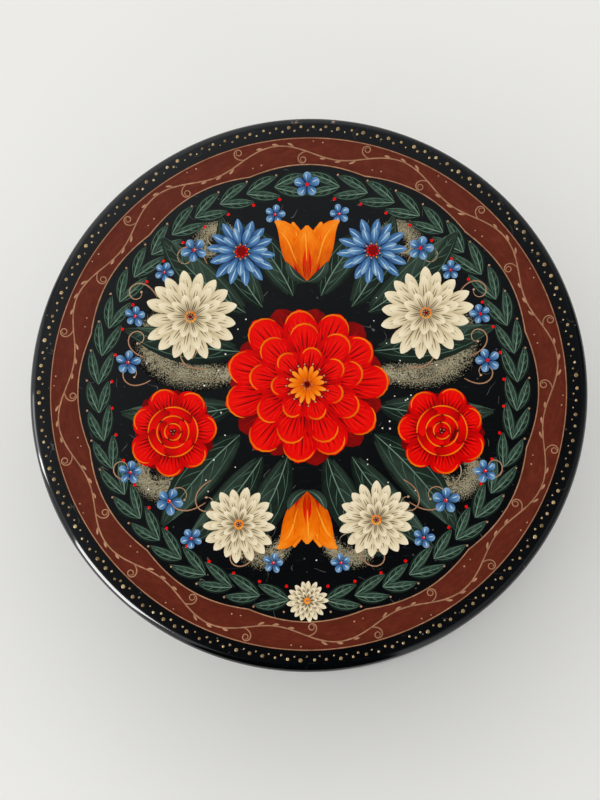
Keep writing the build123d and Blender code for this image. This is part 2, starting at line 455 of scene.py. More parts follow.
def turned_piece(name, outline, top, bottom, segments):
    """Closed solid of revolution about the box's axis."""
    points = [(0.0, 0.0, top)]
    for radius, height in outline:
        for number in range(segments):
            angle = 2 * math.pi * number / segments
            points.append((radius * math.cos(angle), radius * math.sin(angle), height))
    points.append((0.0, 0.0, bottom))
    last = len(points) - 1
    end = last - segments
    faces = []
    for number in range(segments):
        after = (number + 1) % segments
        faces.append((0, 1 + number, 1 + after))
        faces.append((last, end + after, end + number))
        for row in range(len(outline) - 1):
            first = 1 + row * segments
            second = first + segments
            faces.append((first + number, second + number, second + after, first + after))
    mesh = bpy.data.meshes.new(name)
    mesh.from_pydata(points, [], faces)
    mesh.shade_smooth()
    mesh.set_sharp_from_angle(angle=math.radians(SHARP_ANGLE))
    piece = bpy.data.objects.new(name, mesh)
    bpy.context.scene.collection.objects.link(piece)
    return piece


# Shader groups and materials

NOISE_RANGE = (0.3, 0.7)    # where most of a noise's values lie
DUST_GRAIN = 4400.0         # fineness of the dabbed-on powder


def brush_paint_group():
    """Colour of a brush stroke: three shades along its tone, with streaks along the stroke."""
    name = "Brush paint"
    if name in bpy.data.node_groups:
        return bpy.data.node_groups[name]
    inputs = {"Dark": "Color", "Middle": "Color", "Light": "Color", "Streaks": "Float"}
    outputs = {"Color": "Color", "Roughness": "Float"}
    tree, wiring, given, result = new_tree(name, "Shader", inputs, outputs)
    across = wiring.painted("across")
    stretched = wiring.join(wiring.times(wiring.painted("along"), 0.35), wiring.times(across, 2.6), 0.0)
    bristles = wiring.noise(stretched, scale=1.6, detail=3.0, roughness=0.6)
    cloud = wiring.noise(wiring.place(), scale=420.0, detail=3.0, roughness=0.6)
    streaks = wiring.times(wiring.minus(bristles, 0.5), given["Streaks"])
    shade = wiring.plus(wiring.painted("tone"), streaks)
    shade = wiring.plus(shade, wiring.times(wiring.minus(cloud, 0.5), 0.35))
    thin_edge = wiring.times(wiring.math("POWER", wiring.math("ABSOLUTE", across), 3.0), 0.18)
    shade = wiring.minus(shade, thin_edge)
    low = wiring.mix(wiring.times(shade, 2.0, clamp=True), given["Dark"], given["Middle"])
    high = wiring.mix(wiring.times_plus(shade, 2.0, -1.0, clamp=True), low, given["Light"])
    wiring.connect(result, {"Color": high, "Roughness": wiring.between(cloud, *NOISE_RANGE, 0.28, 0.46)})
    return tree


def dust_stipple_group():
    """Cover of a dabbed-on powder: dense where the tone is high, thinning out to the stroke's edge."""
    inputs = {"Grain": "Float"}
    tree, wiring, given, result = new_tree("Dust stipple", "Shader", inputs, {"Cover": "Float"})
    place = wiring.place()
    across = wiring.painted("across")
    edge = wiring.minus(1.0, wiring.times(across, across))
    drift = wiring.between(wiring.noise(place, scale=260.0), *NOISE_RANGE, 0.72, 1.15)
    density = wiring.times(wiring.times(wiring.painted("tone"), edge), drift)
    limit = wiring.times_plus(density, -0.36, 0.68)
    grain = wiring.noise(place, scale=given["Grain"])
    wiring.feed(result["Cover"], wiring.between(wiring.minus(grain, limit), -0.06, 0.2))
    return tree


def lacquer_gloss_group():
    """Hand-rubbed lacquer: faint clouding, rubbing marks, specks of dust, scratches and a ripple."""
    inputs = {"Lacquer": "Color", "Dust": "Float", "Scratches": "Float"}
    outputs = {"Color": "Color", "Roughness": "Float", "Height": "Float"}
    tree, wiring, given, result = new_tree("Lacquer gloss", "Shader", inputs, outputs)
    place = wiring.place()
    cloud = wiring.noise(place, scale=55.0, detail=3.0, roughness=0.55)
    value = wiring.between(cloud, *NOISE_RANGE, 0.9, 1.14)
    clouded = wiring.out("ShaderNodeHueSaturation", {"Color": given["Lacquer"], "Value": value})

    # Rubbing marks run every way: two sets of stretched noise, cut down to hairlines
    hairs = []
    for turn in (0.5, 2.1):
        inputs = {"Vector": place, "Rotation": (0, 0, turn), "Scale": (260.0, 5200.0, 260.0)}
        stretched = wiring.out("ShaderNodeMapping", inputs)
        hairs.append(wiring.between(wiring.noise(stretched, scale=1.0), 0.68, 0.76))
    marks = wiring.most(*hairs)

    cells = wiring.add("ShaderNodeTexVoronoi", {"Vector": place, "Scale": 520.0}, feature="F1").outputs
    chance = wiring.math("GREATER_THAN", wiring.split(cells["Color"])["X"], 0.55)
    speck = wiring.times(wiring.between(cells["Distance"], 0.05, 0.11, 1.0, 0.0), chance)
    speck = wiring.times(speck, given["Dust"])

    # A few short curled scratches: lines of equal noise, kept only where a broader noise runs high
    level_line = wiring.math("ABSOLUTE", wiring.minus(wiring.noise(place, scale=400.0, detail=0.0), 0.5))
    here = wiring.between(wiring.noise(place, scale=330.0, detail=0.0), 0.67, 0.72)
    scratch = wiring.times(wiring.between(level_line, 0.003, 0.011, 0.6, 0.0), here)

    rubbed = wiring.times(wiring.times(marks, given["Dust"]), 0.08)
    pale = wiring.most(rubbed, wiring.times(speck, 0.4), wiring.times(scratch, given["Scratches"]))
    rough = wiring.plus(wiring.between(cloud, *NOISE_RANGE, 0.05, 0.09), wiring.times(marks, 0.05))
    ripple = wiring.noise(place, scale=190.0)
    wiring.connect(result, {
        "Color": wiring.mix(pale, clouded, srgb(150, 148, 142)),
        "Roughness": wiring.plus(rough, wiring.times(speck, 0.4)),
        "Height": wiring.plus(ripple, wiring.times(speck, 0.5)),
    })
    return tree


def new_material(name):
    """New material, with its wiring and its shader's sockets."""
    material = bpy.data.materials.new(name)
    material.use_nodes = True
    tree = material.node_tree
    return material, Wiring(tree), tree.nodes["Principled BSDF"].inputs


def paint_material(pot):
    """Tempera of one pot under clear lacquer."""
    name = "paint_" + pot
    if name in bpy.data.materials:
        return bpy.data.materials[name]
    material, wiring, shader = new_material(name)
    dark, middle, light = (srgb(*shade) for shade in POTS[pot])
    inputs = {"Dark": dark, "Middle": middle, "Light": light, "Streaks": 0.1 if pot == "dust" else 0.5}
    paint = wiring.add("ShaderNodeGroup", inputs, node_tree=brush_paint_group()).outputs
    colour = paint["Color"]
    if pot == "dust":
        cover = wiring.out("ShaderNodeGroup", {"Grain": DUST_GRAIN}, node_tree=dust_stipple_group())
        colour = wiring.mix(cover, bpy.context.scene.lacquer_box.black, colour)
    wiring.connect(shader, {
        "Base Color": colour,
        "Roughness": paint["Roughness"],
        "Metallic": METALLIC_POTS.get(pot, 0.0),
        "Specular IOR Level": 0.0,
        "Coat Weight": 0.4,
        "Coat Roughness": 0.06,
    })
    return material


# Worn spots on the lid's back edge in mm, as (x, length, how far in from the edge)
WORN_SPOTS = ((-2.2, 1.9, 0.82), (4.75, 0.9, 0.66))
WORN_DEPTH = 1.0 * MM               # of their middles below the lid's top
WORN_RAGGED = 1.1 * MM              # how strongly noise breaks up their edges
WORN_EDGE = (0.2 * MM, 0.36 * MM)   # from their middles to where they start and end to fade


def worn_mask(wiring, place):
    """Where the lacquer has chipped to the card beneath."""
    chipping = wiring.noise(place, scale=2100.0, detail=3.0, roughness=0.65)
    ragged = wiring.times(wiring.minus(chipping, 0.5), WORN_RAGGED)
    chips = []
    for x, length, inset in WORN_SPOTS:
        y = math.sqrt((LID_HIGH.x / MM - inset) ** 2 - x * x)
        centre = (x * MM, y * MM, LID_HIGH.z - WORN_DEPTH)
        away = wiring.vector("SUBTRACT", place, centre)
        away = wiring.vector("LENGTH", wiring.vector("MULTIPLY", away, (0.7 / length, 1.0, 1.0)))
        chips.append(wiring.between(wiring.plus(away, ragged), *WORN_EDGE, 0.9, 0.0))
    return wiring.most(*chips)


# Lining: how far the red goes past the wall's inside and the lid rim's top, and how its edge wobbles
LINING_OUT = 0.4 * MM
LINING_UP = 0.2 * MM
LINING_WOBBLE = 0.3 * MM

# Depths below the lid's top between which the scratches of handling fade, and how much they show
HANDLED_DEPTHS = (0.8 * MM, 0.6 * MM)
HANDLED_SHARES = (0.08, 0.56)


def lacquer_material(settings):
    """Black lacquer outside and cinnabar lacquer inside, with two worn spots on the lid's back edge."""
    material, wiring, shader = new_material("box_lacquer")
    place = wiring.place()
    spot = wiring.split(place)
    wobble = wiring.times(wiring.minus(wiring.noise(place, scale=300.0), 0.5), LINING_WOBBLE)
    distance = wiring.plus(wiring.vector("LENGTH", wiring.join(spot["X"], spot["Y"], 0.0)), wobble)
    inside = wiring.math("LESS_THAN", distance, RIM_HIGH.x - settings.wall_thickness + LINING_OUT)
    above = wiring.math("GREATER_THAN", spot["Z"], (BASE_LOW.z + BASE_HIGH.z) / 2)
    below = wiring.math("LESS_THAN", spot["Z"], RIM_HIGH.z + LINING_UP)
    lining = wiring.times(inside, wiring.times(above, below))

    # Handling scratches the middle of the lid's top more than its border and the rest
    low, high = (LID_HIGH.z - depth for depth in HANDLED_DEPTHS)
    handled = wiring.between(spot["Z"], low, high, *HANDLED_SHARES)
    inputs = {
        "Lacquer": wiring.mix(lining, settings.black, settings.cinnabar),
        "Dust": 0.6,
        "Scratches": handled,
    }
    gloss = wiring.add("ShaderNodeGroup", inputs, node_tree=lacquer_gloss_group()).outputs
    worn = worn_mask(wiring, place)
    card = wiring.mix(wiring.noise(place, scale=2500.0), srgb(98, 78, 66), srgb(176, 152, 136))
    bump = {"Strength": 0.05, "Distance": 0.2 * MM, "Height": gloss["Height"]}
    wiring.connect(shader, {
        "Base Color": wiring.mix(worn, gloss["Color"], card),
        "Roughness": wiring.plus(gloss["Roughness"], wiring.times(worn, 0.5)),
        "Normal": wiring.out("ShaderNodeBump", bump),
        "Specular IOR Level": 0.5,
    })
    return material


def metal_material(name, colour, tarnish, lustre):
    """Worked metal with draw marks along the hinge and tarnish in patches."""
    material, wiring, shader = new_material(name)
    place = wiring.place()
    drawn = wiring.out("ShaderNodeMapping", {"Vector": place, "Scale": (120.0, 3000.0, 3000.0)})
    marks = wiring.noise(drawn, scale=1.0, detail=3.0, roughness=0.6)
    patches = wiring.between(wiring.noise(place, scale=420.0, detail=4.0, roughness=0.6), 0.45, 0.7)
    rough = wiring.between(marks, *NOISE_RANGE, lustre, lustre + 0.14)
    bump = {"Strength": 0.15, "Distance": 0.05 * MM, "Height": marks}
    wiring.connect(shader, {
        "Base Color": wiring.mix(wiring.times(patches, 0.7), colour, tarnish),
        "Roughness": wiring.plus(rough, wiring.times(patches, 0.15)),
        "Normal": wiring.out("ShaderNodeBump", bump),
        "Metallic": 1.0,
    })
    return material


def dress(names, material):
    """Gives CAD nodes a finish."""
    for name in names:
        slots = frame["nodes"][name].data.materials
        if not slots:
            slots.append(material)
        for number in range(len(slots)):
            slots[number] = material


# Brushwork: all sizes in mm and angles in degrees, on the lid seen from above


class Touch(NamedTuple):
    """Point of a stroke: its place, half-width, tone, height and way along the stroke."""

    x: float
    y: float
    half: float
    tone: float
    rise: float
    along: float


class Easel:
    """Gathers strokes and dots by pot of paint, and lays them on the lid as one piece for each pot."""

    def __init__(self, seed):
        self.draw = random.Random(seed)
        self.work = {}

    def vary(self, value, share):
        return value * (1 + self.draw.uniform(-share, share))

    def chain(self, pot, points, halves, tones, level, closed=False):
        """One stroke through the points, with its half-width and tone at each."""
        start = self.draw.uniform(0, STREAK_SPAN)
        walked = 0.0
        touches = []
        for number, (x, y) in enumerate(points):
            if number:
                walked += math.dist(points[number - 1], (x, y))
            touches.append(Touch(x, y, halves[number], tones[number], level * LEVEL, start + walked))
        self.work.setdefault(pot, []).append((touches, closed))

    def dot(self, pot, x, y, size, tone, level):
        touch = Touch(x, y, size / 2, tone, level * LEVEL, self.draw.uniform(0, STREAK_SPAN))
        self.work.setdefault(pot, []).append(([touch], False))

    def stroke(self, pot, x, y, heading, length, width, tones, level, bend=0.0, curl=0.0, belly=1.0,
               blunt=0.7, steps=10):
        """Stroke from a point, turning by bend degrees evenly and by curl degrees more and more."""
        points = []
        halves = []
        shades = []
        before = 0.0
        for number in range(steps + 1):
            even = number / steps
            share = (1 - EASE) * even + EASE * (1 - math.cos(math.pi * even)) / 2
            middle = (share + before) / 2
            angle = math.radians(heading + bend * middle + curl * middle * middle)
            x += length * (share - before) * math.cos(angle)
            y += length * (share - before) * math.sin(angle)
            before = share
            points.append((x, y))
            swell = max(math.sin(math.pi * share ** belly), 0.0)
            halves.append(width / 2 * max(swell ** blunt, THIN_END))
            shades.append(tones[0] + (tones[1] - tones[0]) * share)
        self.chain(pot, points, halves, shades, level)
        return x, y

    def arc(self, pot, x, y, radius, start, sweep, width, tones, level, blunt=0.5, steps=8):
        """Stroke along a circle around a point, to the left as seen from there."""
        at = polar(x, y, radius, start)
        length = radius * math.radians(sweep)
        self.stroke(pot, *at, start + 90, length, width, tones, level, bend=sweep, blunt=blunt, steps=steps)

    def ring(self, pot, points, width, tone, level):
        """Fine closed line through the points."""
        halves = [self.vary(width / 2, 0.15) for _ in points]
        tones = [tone + self.draw.uniform(-0.12, 0.12) for _ in points]
        self.chain(pot, points, halves, tones, level, True)

    def finish(self, prefix, settings):
        """Lays the gathered work on the lid."""
        for pot, chains in self.work.items():
            touches = [touch for chain, closed in chains for touch in chain]
            edges = []
            count = 0
            for chain, closed in chains:
                edges += [(count + step, count + step + 1) for step in range(len(chain) - 1)]
                if closed:
                    edges.append((count + len(chain) - 1, count))
                count += len(chain)
            mesh = bpy.data.meshes.new(f"{prefix}_{pot}_lines")
            mesh.from_pydata([(touch.x * MM, touch.y * MM, 0.0) for touch in touches], edges, [])
            for label, unit in {"half": MM, "tone": 1.0, "rise": MM, "along": 1.0}.items():
                data = mesh.attributes.new(label, "FLOAT", "POINT").data
                data.foreach_set("value", [getattr(touch, label) * unit for touch in touches])
            values = {
                "Crown Top": LID_HIGH.z,
                "Crown Radius": crown_radius(settings),
                "Sink": SINK * MM,
                "Dot Sides": DOT_SIDES,
                "Material": paint_material(pot),
            }
            plain_piece(f"{prefix}_{pot}", mesh, brush_work_tree(), values)


class Petal(NamedTuple):
    """A painted petal: its foot, the way that it points, its length and its coat."""

    foot: tuple
    heading: float
    reach: float
    level: int

    def at(self, share, aside=0.0):
        """Point at a share of the petal's length, turned aside by an angle."""
        return polar(*self.foot, self.reach * share, self.heading + aside)


class Flower:
    """A flower being painted, with the places and petals in it given as shares of its size."""

    # How far a petal may point aside and bend, in degrees, and how much its length and width may differ
    stray = 2.5
    bend = 8
    difference = 0.08

    def __init__(self, easel, x, y, size):
        self.easel = easel
        self.middle = (x, y)
        self.size = size

    def heart(self, pot, share, tone, level):
        """Dot in the middle."""
        self.easel.dot(pot, *self.middle, self.size * share, tone, level)

    def dot(self, pot, distance, angle, size, tone, level):
        """Dot at a distance from the middle, with its own size in mm."""
        self.easel.dot(pot, *polar(*self.middle, self.size * distance, angle), size, tone, level)

    def petals(self, pot, count, inner, length, width, turn, tones, level, belly=1.5, blunt=0.55):
        """Ring of like petals, each given back as it is done so that lines can follow before the next."""
        easel = self.easel
        for number in range(count):
            heading = turn + 360 * number / count + easel.draw.uniform(-self.stray, self.stray)
            foot = polar(*self.middle, self.size * inner, heading)
            reach = easel.vary(self.size * length, self.difference)
            bend = easel.draw.uniform(-self.bend, self.bend)
            petal = Petal(foot, heading, reach, level + number % 2)
            across = easel.vary(self.size * width, self.difference)
            easel.stroke(pot, *foot, heading - bend / 2, reach, across, bend=bend, belly=belly,
                         blunt=blunt, tones=tones, level=petal.level)
            yield petal

    def plain_ring(self, pot, **plan):
        """Ring of like petals, all done before anything else."""
        return list(self.petals(pot, **plan))

    def fan(self, pot, petal, spread, count, width, tones, level, start=0.25):
        """Fine lines that open out over a petal."""
        easel = self.easel
        for number in range(count):
            side = (number + 0.5) / count * 2 - 1
            angle = petal.heading + side * spread * 0.35
            at = polar(*petal.foot, petal.reach * start, angle)
            reach = petal.reach * (0.93 - start - 0.22 * side * side) * easel.draw.uniform(0.82, 1.0)
            easel.stroke(pot, *at, angle + side * spread * 0.55, reach, easel.vary(width, 0.25),
                         bend=-side * spread * 0.7, belly=1.2, tones=tones,
                         level=level + number % 2, steps=5)

    def fringe(self, petal, share, radius, half_sweep, width, level):
        """Bright line round a petal's tip."""
        self.easel.arc("orange", *petal.at(share), petal.reach * radius, petal.heading - half_sweep,
                       2 * half_sweep, width, tones=(0.2, 0.6), level=level)


# Each row of rings below is (count, where they start, length, width, turn, coat), with tones in the aster


def peony(easel, x, y, size):
    """Full red flower with ruffled petals, an orange fringe and gold stamens."""
    flower = Flower(easel, x, y, size)
    back = flower.petals("crimson", count=11, inner=0.3, length=0.66, width=0.42, turn=16,
                         tones=(0.05, 0.7), level=14)
    for petal in back:
        flower.fan("crimson", petal, spread=40, count=5, width=0.3, tones=(0.5, 1.0), level=16)
    rings = ((11, 0.26, 0.72, 0.44, 0, 18), (9, 0.14, 0.6, 0.40, 12, 24), (7, 0.04, 0.44, 0.34, 30, 30))
    for count, inner, length, width, turn, level in rings:
        for petal in flower.petals("red", count, inner, length, width, turn, (0.0, 0.75), level):
            flower.fan("crimson", petal, spread=44, count=6, width=0.26, tones=(0.1, 0.7),
                       level=level + 2, start=0.1)
            flower.fan("red", petal, spread=50, count=7, width=0.3, tones=(0.5, 1.0),
                       level=level + 3, start=0.45)
            flower.fringe(petal, share=0.70, radius=0.27, half_sweep=78, width=0.34, level=level + 4)
    stamens = flower.plain_ring("orange", count=16, inner=0.03, length=0.2, width=0.06, turn=5,
                                tones=(0.1, 0.9), level=37)
    for stamen in stamens:
        easel.dot("gold", *stamen.at(1.1), size=0.42, tone=0.65, level=40)
    flower.heart("crimson", 0.1, tone=0.3, level=39)
    for number in range(6):
        flower.dot("gold", 0.06, 60 * number, size=0.34, tone=0.65, level=40)


def chrysanthemum(easel, x, y, size, turn=0.0):
    """Cream flower of many narrow petals shaded with umber."""
    flower = Flower(easel, x, y, size)
    rings = ((17, 0.30, 0.70, 0.27, 0, 14), (14, 0.18, 0.60, 0.24, 9, 19), (10, 0.06, 0.44, 0.21, 4, 24))
    for count, inner, length, width, start, level in rings:
        plan = (count, inner, length, width, start + turn, (0.0, 0.95), level)
        for petal in flower.petals("cream", *plan, belly=1.4, blunt=0.6):
            for side in (-1, 1):
                foot = petal.at(0.12, side * 12)
                easel.stroke("umber", *foot, petal.heading + side * 6, petal.reach * 0.62, width=0.2,
                             bend=-side * 9, tones=(0.2, 0.9), level=petal.level + 2, steps=5)
    for number in range(11):
        flower.dot("orange", 0.11, 33 * number, size=0.55, tone=0.5 + 0.04 * number, level=29)
    flower.heart("crimson", 0.13, tone=0.5, level=28)
    for number in range(5):
        flower.dot("gold", 0.045, 72 * number, size=0.3, tone=0.65, level=30)


# Crescents around a rose's heart, as (count, radius, width, coat)
ROSE_CRESCENTS = ((5, 0.45, 0.30, 22), (4, 0.27, 0.24, 33), (3, 0.12, 0.18, 42))


def rose(easel, x, y, size, turn):
    """Round red rose of crescents wrapped around a dark heart."""
    flower = Flower(easel, x, y, size)
    flower.plain_ring("crimson", count=7, inner=0.0, length=0.93, width=0.5, turn=turn + 25.7,
                      tones=(0.2, 0.5), level=13, belly=1.3, blunt=0.5)
    flower.heart("crimson", 0.9, tone=0.3, level=21)
    front = flower.petals("red", count=7, inner=0.22, length=0.78, width=0.72, turn=turn,
                          tones=(0.0, 0.7), level=15, belly=1.6, blunt=0.5)
    for petal in front:
        flower.fan("crimson", petal, spread=56, count=6, width=0.24, tones=(0.1, 0.6),
                   level=17, start=0.1)
        flower.fan("red", petal, spread=60, count=6, width=0.26, tones=(0.6, 1.0),
                   level=18, start=0.5)
        flower.fringe(petal, share=0.62, radius=0.36, half_sweep=70, width=0.3, level=20)
    for count, radius, width, level in ROSE_CRESCENTS:
        sweep = 470 / count
        for number in range(count):
            start = turn + 360 * number / count + level * 7
            height = level + 2 * number
            easel.arc("red", x, y, size * radius, start, sweep, size * width,
                      tones=(0.1, 0.75), level=height, blunt=0.6, steps=14)
            easel.arc("crimson", x, y, size * (radius - width * 0.36), start + 10, sweep * 0.7,
                      size * width * 0.34, tones=(0.2, 0.6), level=height + 1, blunt=0.6, steps=10)
            easel.arc("orange", x, y, size * (radius + width * 0.40), start + sweep * 0.18, sweep * 0.72,
                      width=0.26, tones=(0.3, 0.7), level=height + 1, blunt=0.5, steps=12)
    for number in range(3):
        flower.dot("gold", 0.045, 120 * number + turn, size=0.3, tone=0.65, level=50)


# Petals of a tulip, as (lean from its stem, bend, curl, length, width, coat)
TULIP_PETALS = (
    (20, -14, 0, 0.94, 0.34, 14), (-20, 14, 0, 0.94, 0.34, 14),
    (46, -150, 170, 1.08, 0.36, 16), (-46, 150, -170, 1.08, 0.36, 16), (0, 0, 0, 0.86, 0.46, 18),
)


def tulip(easel, x, y, heading, size):
    """Orange flower seen from the side, with two petals that flare away from the stem."""
    for lean, bend, curl, length, width, level in TULIP_PETALS:
        way = heading + lean
        reach = size * length
        easel.stroke("orange", x, y, way, reach, size * width, bend=bend, curl=curl, belly=1.1,
                     blunt=0.75, tones=(0.05, 0.7), level=level, steps=12)
        for side in (-2, -1, 0, 1, 2):
            foot = polar(x, y, size * 0.05, way + side * 14)
            easel.stroke("red", *foot, way + side * 8, reach * (0.66 - 0.09 * abs(side)), width=0.26,
                         bend=bend * 0.8 - side * 14, curl=curl * 0.5, tones=(0.1, 0.7),
                         level=level + 1, steps=8)
        way = heading + lean * 0.6
        easel.stroke("orange", *polar(x, y, size * 0.3, way), way + 3, reach * 0.55, width=0.3,
                     bend=bend * 0.4, curl=curl * 0.5, tones=(0.7, 1.0), level=level + 2, steps=8)
    for side in (-1, 1):
        easel.stroke("green", x, y, heading + side * 80, size * 0.46, size * 0.15, bend=-side * 70,
                     tones=(0.4, 1.0), level=20)
        easel.stroke("sage", x, y, heading + side * 78, size * 0.4, width=0.2, bend=-side * 66,
                     tones=(0.3, 0.8), level=21)


def aster(easel, x, y, size, turn):
    """Blue flower of pointed petals with pale lines and a red heart."""
    flower = Flower(easel, x, y, size)
    rings = ((14, 0.26, 0.74, 0.26, 0, 14, (0.0, 0.65)), (11, 0.16, 0.56, 0.22, 12, 18, (0.15, 0.9)))
    for count, inner, length, width, start, level, tones in rings:
        plan = (count, inner, length, width, start + turn, tones, level)
        for petal in flower.petals("blue", *plan, belly=1.2, blunt=0.7):
            bend = easel.draw.uniform(-10, 10)
            easel.stroke("sky", *petal.at(0.3), petal.heading, petal.reach * 0.6, width=0.22, bend=bend,
                         tones=(0.1, 0.9), level=petal.level + 2, steps=5)
    flower.heart("crimson", 0.42, tone=0.6, level=22)
    for number in range(9):
        flower.dot("red", 0.15, 40 * number, size=0.5, tone=0.7, level=23)
        flower.dot("orange", 0.22, 40 * number + 20, size=0.34, tone=0.8, level=23)


def forget_me_not(easel, x, y, size, turn):
    """Small blue flower of five round petals with a red eye."""
    flower = Flower(easel, x, y, size)
    ring = flower.petals("blue", count=5, inner=0.1, length=0.9, width=0.68, turn=turn,
                         tones=(0.1, 0.85), level=12, blunt=0.5)
    for petal in ring:
        easel.stroke("sky", *petal.at(0.35, 10), petal.heading, petal.reach * 0.48, width=0.2, bend=12,
                     tones=(0.3, 1.0), level=15, steps=5)
    flower.heart("red", 0.34, tone=0.6, level=17)
    easel.dot("cream", x + size * 0.05, y + size * 0.05, size * 0.12, tone=0.9, level=18)


def leaf(easel, x, y, heading, length, width, bend, level, veins=7):
    """Dark green leaf with one lighter half, a midrib, side veins and pale edges."""
    easel.stroke("green", x, y, heading, length, width, bend=bend, belly=0.85, blunt=0.8,
                 tones=(0.15, 0.55), level=level)
    side = 1 if bend >= 0 else -1
    lighter = polar(x, y, length * 0.06, heading + side * 50)
    easel.stroke("green", *lighter, heading + side * 8, length * 0.86, width * 0.42,
                 bend=bend - side * 16, belly=0.85, blunt=0.8, tones=(0.5, 0.95),
                 level=level + 1, steps=9)
    at = (x, y)
    for number in range(veins):
        share = (number + 0.5) / veins
        angle = heading + bend * share
        swell = math.sin(math.pi * share ** 0.85) ** 0.8
        if number:
            for turn in (-1, 1):
                easel.stroke("sage", *at, angle + turn * 38, width * 0.6 * swell, width=0.15,
                             bend=-turn * 22, tones=(0.4, 0.15), level=level + 2, steps=4)
        at = polar(*at, length / veins, angle)
    easel.stroke("sage", x, y, heading, length * 0.97, width=0.24, bend=bend, belly=0.7,
                 tones=(0.7, 0.4), level=level + 3)
    lean = math.degrees(math.atan2(width, length))
    for turn in (-1, 1):
        easel.stroke("sage", x, y, heading + turn * lean * 1.3, length * 1.02, width=0.15,
                     bend=bend - turn * lean * 2.5, tones=(0.2, 0.45), level=level + 3)


def tendril(easel, x, y, heading, length, curl, side, level):
    """Gold thread that coils at its end in a bud."""
    end = easel.stroke("gold", x, y, heading, length, width=0.22, bend=side * 20, curl=side * curl,
                       belly=0.6, blunt=0.35, tones=(0.45, 0.75), level=level, steps=22)
    easel.dot("gold", *end, size=0.5, tone=0.8, level=level)


# Places of the flowers on the lid, as (x, y, size); those off the middle line are mirrored
PEONY = (0.0, 1.0, 14.6)
CHRYSANTHEMUMS = ((21.2, 13.6, 8.2), (12.2, -23.6, 6.6))
ROSES = ((24.0, -7.4, 7.8),)
ASTERS = ((11.8, 25.2, 6.2),)
TULIPS = ((0.0, 19.6, 12.0), (0.0, -18.0, 11.0))
FORGET_ME_NOTS = (
    (32.2, 5.2, 2.2), (31.0, 13.6, 1.9), (20.4, 25.6, 2.3), (25.8, 21.6, 1.8), (31.6, -14.6, 2.1),
    (24.6, -19.8, 2.4), (20.6, -26.4, 1.9), (6.0, -30.8, 1.8), (5.8, 32.0, 1.8),
)

# Wisps of dust, as (x, y, heading, length, width, bend, curl)
WISPS = (
    (11.0, 2.6, 10, 35.0, 6.4, -150, 480), (20.0, -12.0, -66, 21.0, 5.6, 30, 300),
    (3.0, -25.0, -70, 17.0, 4.8, 26, 300), (13.0, 28.5, 24, 13.0, 4.4, -20, -290),
)

# Sparks tried around the large flower, how they spread, and where they may not lie
SPARKS = 150
SPARK_SPREAD = 9
SPARK_REACH = 34
FLOWER_MARGIN = 0.5

# Leaves, as (x, y, heading, length, width, bend)
LEAVES = (
    (2.5, 17.0, 68, 16.0, 6.0, -28), (11.0, 14.0, 32, 21.0, 7.4, 20), (12.0, 7.0, 4, 22.0, 6.6, 14),
    (13.0, -3.0, -12, 21.0, 6.6, 18), (12.0, -8.0, -40, 22.0, 7.4, -18), (3.5, -12.0, -74, 20.0, 6.4, 24),
    (8.0, 15.0, 52, 19.0, 6.0, 26), (8.0, -12.0, -58, 21.0, 6.0, 18),
)

# Tendrils, as (x, y, heading, length, curl, side to which they coil)
TENDRILS = (
    (18.0, 23.0, 66, 12.0, 330, -1), (27.0, 17.0, 60, 11.0, 330, -1), (29.0, 6.0, 20, 11.0, 330, 1),
    (28.0, 2.0, -30, 11.0, 330, 1), (29.0, -13.0, -60, 12.0, 320, 1), (18.0, -20.0, -34, 14.0, 330, 1),
    (9.0, -29.0, -60, 10.0, 320, 1), (18.0, 4.0, -4, 12.0, 330, 1), (17.0, -16.0, -30, 12.0, 320, -1),
)

# Scroll band: its lobes inside, its stem, which sways about a line outside the band's middle, and how far
# in from its edges its gold lines lie
BAND_STEPS = 384
BAND_LOBES = 12
LOBE_DEPTH = 0.9
STEM_SWAY = 1.35
STEM_SHIFT = 0.4
INNER_LINE_INSET = 0.12
OUTER_LINE_INSET = 0.15

# Leaf wreath: its inset from the band, and its leaves on each side, from the foot of the lid upwards
WREATH_INSET = 2.7
WREATH_LEAVES = 22
WREATH_START = 5
WREATH_STEP = 7.9
WREATH_LEAF = (6.4, 2.3)
GOLD_DOTS_OUT = 2.15    # how far the wreath's gold dots lie outside its line
RED_DOTS_IN = 2.4       # how far its red dots lie inside it


def on_a_flower(x, y):
    """Whether a point lies on a flower or close beside one."""
    flowers = (PEONY, *CHRYSANTHEMUMS, *ROSES, *ASTERS, *TULIPS, *FORGET_ME_NOTS)
    return any(math.dist((abs(x), y), place) < size + FLOWER_MARGIN for *place, size in flowers)


# Settings and operators


